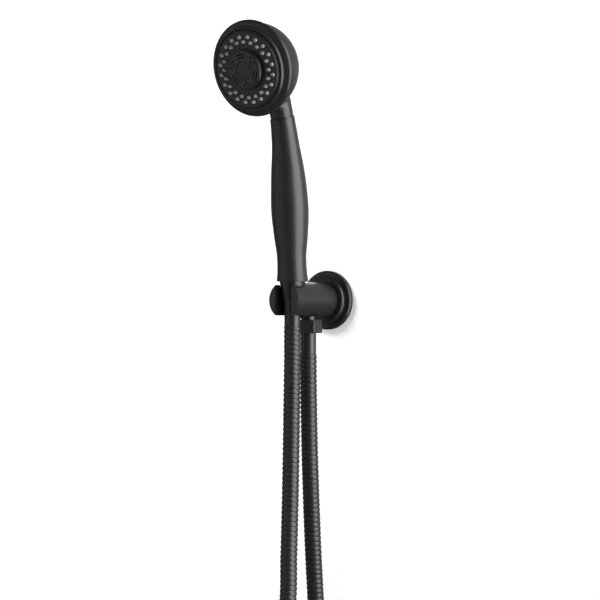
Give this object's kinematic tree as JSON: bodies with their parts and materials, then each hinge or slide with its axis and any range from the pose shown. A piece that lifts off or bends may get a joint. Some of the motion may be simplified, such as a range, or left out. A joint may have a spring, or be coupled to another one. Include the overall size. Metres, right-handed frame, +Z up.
{
  "type": "handheld shower head",
  "caption": "Matte black hand shower: wall outlet bracket with forked cradle, curved handset with turning spray ring and massage rotor, and a hanging metal-clad hose.",
  "frame": {"origin": "centre of the rosette's back face, on the wall", "axes": "+Z up, -Y out of the wall along the bracket, +X along the wall; the part is held by its wall face"},
  "size_m": [0.0918, 0.196, 0.8315],
  "materials": {
    "matte_black": "matte black powder coat",
    "black_plastic": "matte black soft-touch finish",
    "face_black": "matte black, slightly smoother than the shell",
    "hose_black": "matte black coated interlocked cladding over a rubber hose",
    "nozzle_grey": "translucent grey silicone",
    "black_rubber": "black EPDM rubber",
    "natural_plastic": "natural POM",
    "grey_plastic": "grey POM",
    "green_plastic": null,
    "steel": "stainless steel"
  },
  "bodies": {
    "bracket": {"wall_rosette": "matte_black", "wall_gasket": "black_rubber", "rosette_oring": "black_rubber", "bracket_body": "matte_black", "inlet_filter": "steel", "outlet_nipple": "matte_black", "nipple_oring": "black_rubber", "valve_cage": "natural_plastic", "valve_oring": "black_rubber", "valve_spring": "steel", "outlet_washer": "black_rubber", "hex_nut": "matte_black", "outlet_barb": "grey_plastic", "outlet_sleeve": "matte_black", "hose_tube": "hose_black"},
    "check_valve": {"valve_poppet": "natural_plastic"},
    "hose_end": {"hand_sleeve": "matte_black", "hand_barb": "grey_plastic", "swivel_collar": "matte_black", "swivel_oring": "black_rubber"},
    "handset": {"cone_nut": "matte_black", "hose_washer": "black_rubber", "flow_limiter": "green_plastic", "hand_spigot": "black_plastic", "spigot_oring": "black_rubber", "handle_shell": "black_plastic", "water_tube": "natural_plastic", "neck_oring": "black_rubber", "neck_ring": "black_plastic", "head_shell": "black_plastic", "inlet_elbow": "natural_plastic", "head_oring": "black_rubber", "chamber_plate": "natural_plastic", "detent_spring": "steel", "detent_ball": "steel", "distribution_plate": "natural_plastic", "nozzle_mat": "nozzle_grey", "face_plate": "face_black", "massage_disc": "black_plastic", "centre_screw": "steel", "centre_cap": "black_plastic"},
    "selector": {"diverter_disc": "grey_plastic", "diverter_seals": "black_rubber", "turning_ring": "black_plastic"},
    "turbine": {"turbine_rotor": "grey_plastic"}
  },
  "joints": [
    {"name": "handset_lift", "type": "slide", "parent": "bracket", "child": "hose_end", "axis": [0, 0, 1], "range_m": [0, 0.05]},
    {"name": "handset_swivel", "type": "hinge", "parent": "hose_end", "child": "handset", "pos_m": [0, -0.0618, 0], "axis": [0, 0, 1], "range_deg": [-90, 90]},
    {"name": "spray_select", "type": "hinge", "parent": "handset", "child": "selector", "pos_m": [0, -0.12547, 0.21999], "axis": [0, -0.9632, -0.2689], "range_deg": [-40, 40]},
    {"name": "turbine_spin", "type": "hinge", "parent": "handset", "child": "turbine", "pos_m": [0, -0.1351, 0.2173], "axis": [0, -0.9632, -0.2689], "continuous": true},
    {"name": "valve_open", "type": "slide", "parent": "bracket", "child": "check_valve", "axis": [0, 0, -1], "range_m": [0, 0.0022], "stiffness_N_per_m": 150, "springref_m": -0.004, "deforming": ["valve_spring"]}
  ]
}
